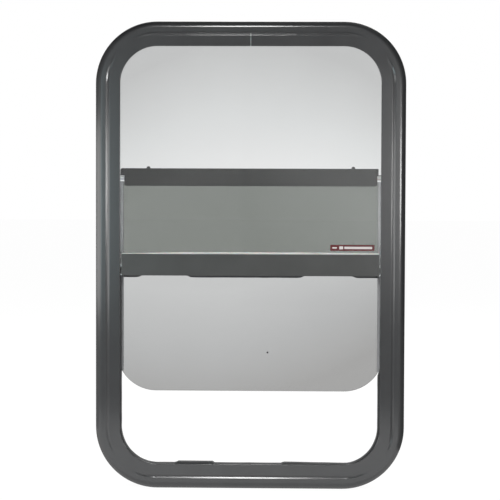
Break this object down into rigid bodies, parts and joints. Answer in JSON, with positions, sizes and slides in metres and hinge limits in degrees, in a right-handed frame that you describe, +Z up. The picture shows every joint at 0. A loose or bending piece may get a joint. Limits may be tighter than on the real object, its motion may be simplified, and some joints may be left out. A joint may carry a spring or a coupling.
{
  "type": "half-slider caravan window",
  "caption": "Half-slider caravan window: rounded beaded aluminium frame, fixed upper pane on a meeting rail, and a tinted lower sash that slides up behind it; clamp ring inside.",
  "frame": {"origin": "middle of the window in the plane of the wall's outer skin, where the back of the flange seats", "axes": "+X to the right and +Z up as seen from outside, +Y through the wall into the caravan"},
  "size_m": [0.4, 0.0376, 0.604],
  "materials": {
    "coated_aluminium": "satin",
    "bare_aluminium": "satin",
    "tinted_glass": "gloss",
    "black_rubber": "matte",
    "flocked_rubber": "matte",
    "grey_pile": "matte",
    "grey_plastic": "satin",
    "black_nylon": "satin",
    "white_nylon": "satin"
  },
  "bodies": {
    "frame": {"outer_frame": "coated_aluminium", "clamp_ring": "coated_aluminium", "joint_plate": "bare_aluminium", "fixed_pane": "tinted_glass", "glazing_gasket": "black_rubber", "wiper_seal": "black_rubber", "sill_strip": "black_rubber", "meeting_rail": "coated_aluminium", "rail_gasket": "black_rubber", "pile_strip": "grey_pile", "left_run_channel": "flocked_rubber", "right_run_channel": "flocked_rubber"},
    "sash": {"sash_pane": "tinted_glass", "sash_rail": "coated_aluminium", "left_edge_strip": "grey_plastic", "right_edge_strip": "grey_plastic", "left_end_shoe": "black_nylon", "right_end_shoe": "black_nylon"},
    "left_catch": {"left_catch_bolt": "white_nylon", "left_catch_tab": "black_nylon"},
    "right_catch": {"right_catch_bolt": "white_nylon", "right_catch_tab": "black_nylon"}
  },
  "joints": [
    {"name": "sash_slide", "type": "slide", "parent": "frame", "child": "sash", "axis": [0, 0, 1], "range_m": [-0.1, 0.1]},
    {"name": "left_catch_slide", "type": "slide", "parent": "sash", "child": "left_catch", "axis": [1, 0, 0], "range_m": [0, 0.008], "stiffness_N_per_m": 100, "springref_m": -0.02},
    {"name": "right_catch_slide", "type": "slide", "parent": "sash", "child": "right_catch", "axis": [-1, 0, 0], "range_m": [0, 0.008], "stiffness_N_per_m": 100, "springref_m": -0.02}
  ]
}
